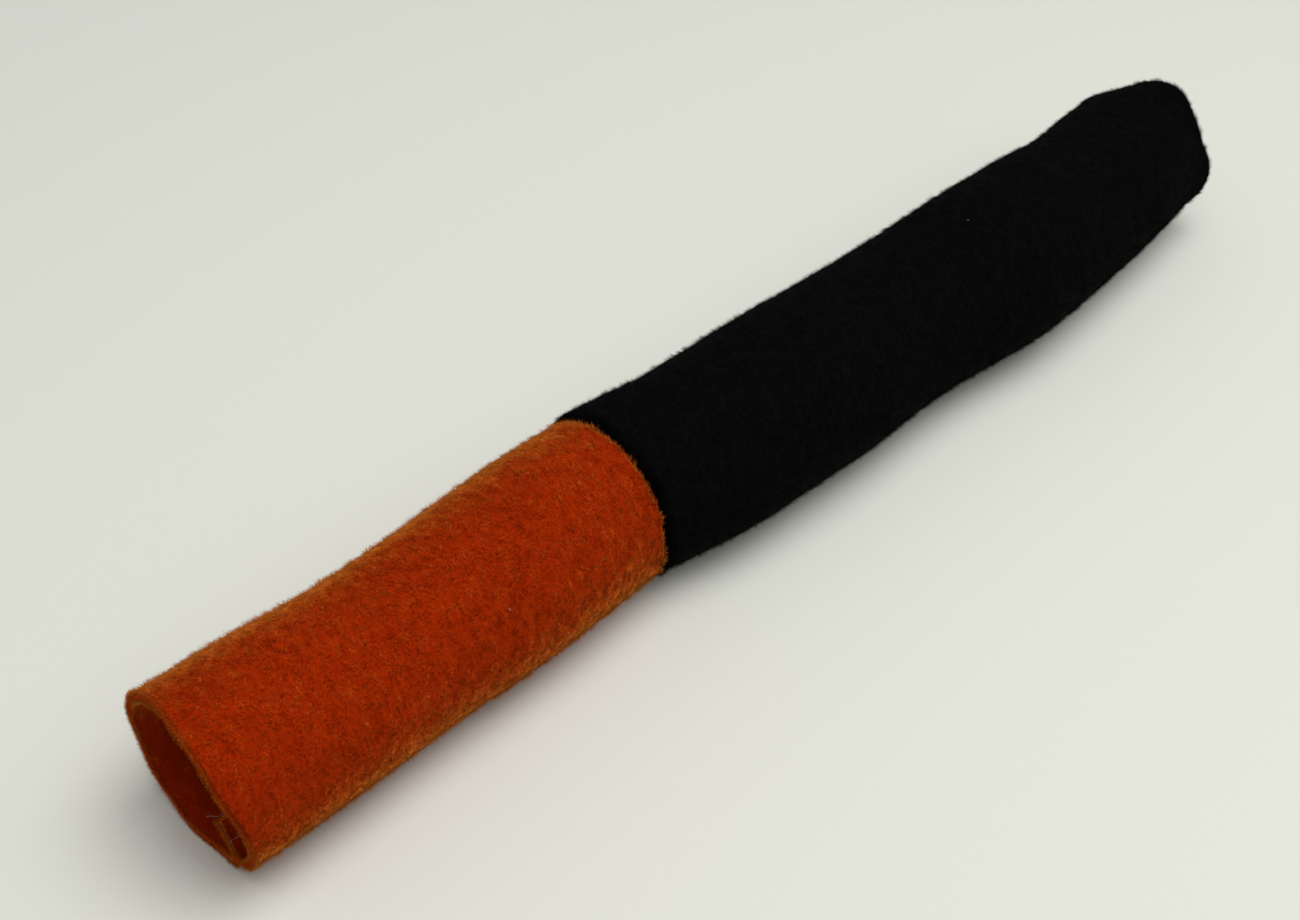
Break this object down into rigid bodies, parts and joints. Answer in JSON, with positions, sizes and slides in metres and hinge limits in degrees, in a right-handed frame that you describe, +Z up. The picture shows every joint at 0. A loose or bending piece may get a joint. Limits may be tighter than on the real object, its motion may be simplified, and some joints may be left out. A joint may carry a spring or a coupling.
{
  "type": "soft fabric crayon",
  "caption": "Soft tube crayon of two fleece sleeves, an open orange one sewn to a stuffed black one with a gathered round tip.",
  "frame": {"origin": "middle of the underside of the object's bounding box", "axes": "+X along the crayon from the open orange mouth to the gathered black tip, +Z up from the surface it lies on"},
  "size_m": [0.32, 0.0486, 0.0427],
  "materials": {
    "orange_fleece": "napped fleece, matt",
    "black_fleece": "napped fleece, matt",
    "fibre": "loose polyester fibre",
    "orange_thread": "spun polyester thread",
    "black_thread": "spun polyester thread"
  },
  "bodies": {
    "root": {"orange_sleeve": "orange_fleece", "black_sleeve": "black_fleece", "fibre_filling": "fibre", "orange_seam_needle_thread": "orange_thread", "orange_seam_bobbin_thread": "orange_thread", "black_seam_needle_thread": "black_thread", "black_seam_bobbin_thread": "black_thread", "join_seam_needle_thread": "black_thread", "join_seam_bobbin_thread": "black_thread", "gathering_thread": "black_thread"}
  },
  "joints": []
}
